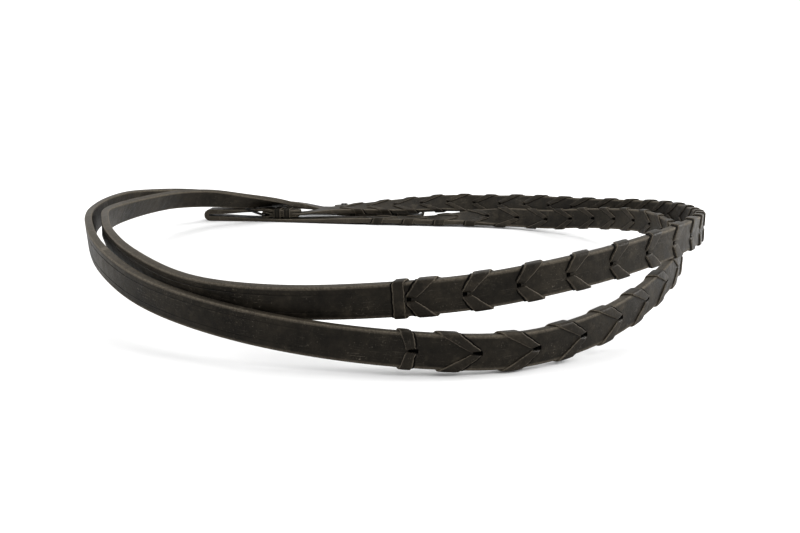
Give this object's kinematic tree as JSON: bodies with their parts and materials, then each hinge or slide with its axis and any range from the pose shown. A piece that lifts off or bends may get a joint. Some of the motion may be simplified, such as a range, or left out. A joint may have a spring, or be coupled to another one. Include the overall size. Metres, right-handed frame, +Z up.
{
  "type": "leather reins",
  "caption": "Pair of laced leather riding reins lying on edge in a doubled round loop, buckled at the hand end and with hook-stud bit ends.",
  "frame": {"origin": "on the floor plane under the middle of the coiled pair's bounding box", "axes": "+Z up; +X to the right of the open loop, across its width; +Y from the front of the loop to the back, where the buckle and the bit ends lie"},
  "size_m": [0.4227, 0.4871, 0.0562],
  "materials": {
    "rein_leather": "dark brown, slightly waxed, raw edges paler",
    "lace_leather": "dark brown lace, soft satin",
    "stud_metal": "polished stainless",
    "buckle_metal": "dark gunmetal plating, satin"
  },
  "bodies": {
    "reins": {"near_rein_strap": "rein_leather", "far_rein_strap": "rein_leather", "near_rein_lace": "lace_leather", "far_rein_lace": "lace_leather", "near_bit_billet": "rein_leather", "far_bit_billet": "rein_leather", "near_hook_stud": "stud_metal", "far_hook_stud": "stud_metal", "near_bit_keeper_front": "rein_leather", "near_bit_keeper_back": "rein_leather", "far_bit_keeper_front": "rein_leather", "far_bit_keeper_back": "rein_leather", "hand_keeper_fixed": "rein_leather"},
    "buckle_frame": {"hand_buckle_frame": "buckle_metal"},
    "buckle_prong": {"hand_buckle_prong": "buckle_metal"},
    "running_keeper": {"hand_keeper_running": "rein_leather"}
  },
  "joints": [
    {"name": "buckle_frame_hinge", "type": "hinge", "parent": "reins", "child": "buckle_frame", "pos_m": [-0.11224, 0.19482, 0.0063], "axis": [0.0698, 0.9976, 0], "range_deg": [0, 2]},
    {"name": "buckle_prong_hinge", "type": "hinge", "parent": "buckle_frame", "child": "buckle_prong", "pos_m": [-0.11224, 0.19482, 0.0063], "axis": [0.0698, 0.9976, 0], "range_deg": [0, 6]},
    {"name": "running_keeper_slide", "type": "slide", "parent": "reins", "child": "running_keeper", "axis": [0.9976, -0.0698, 0], "range_m": [-0.0025, 0.004]}
  ]
}
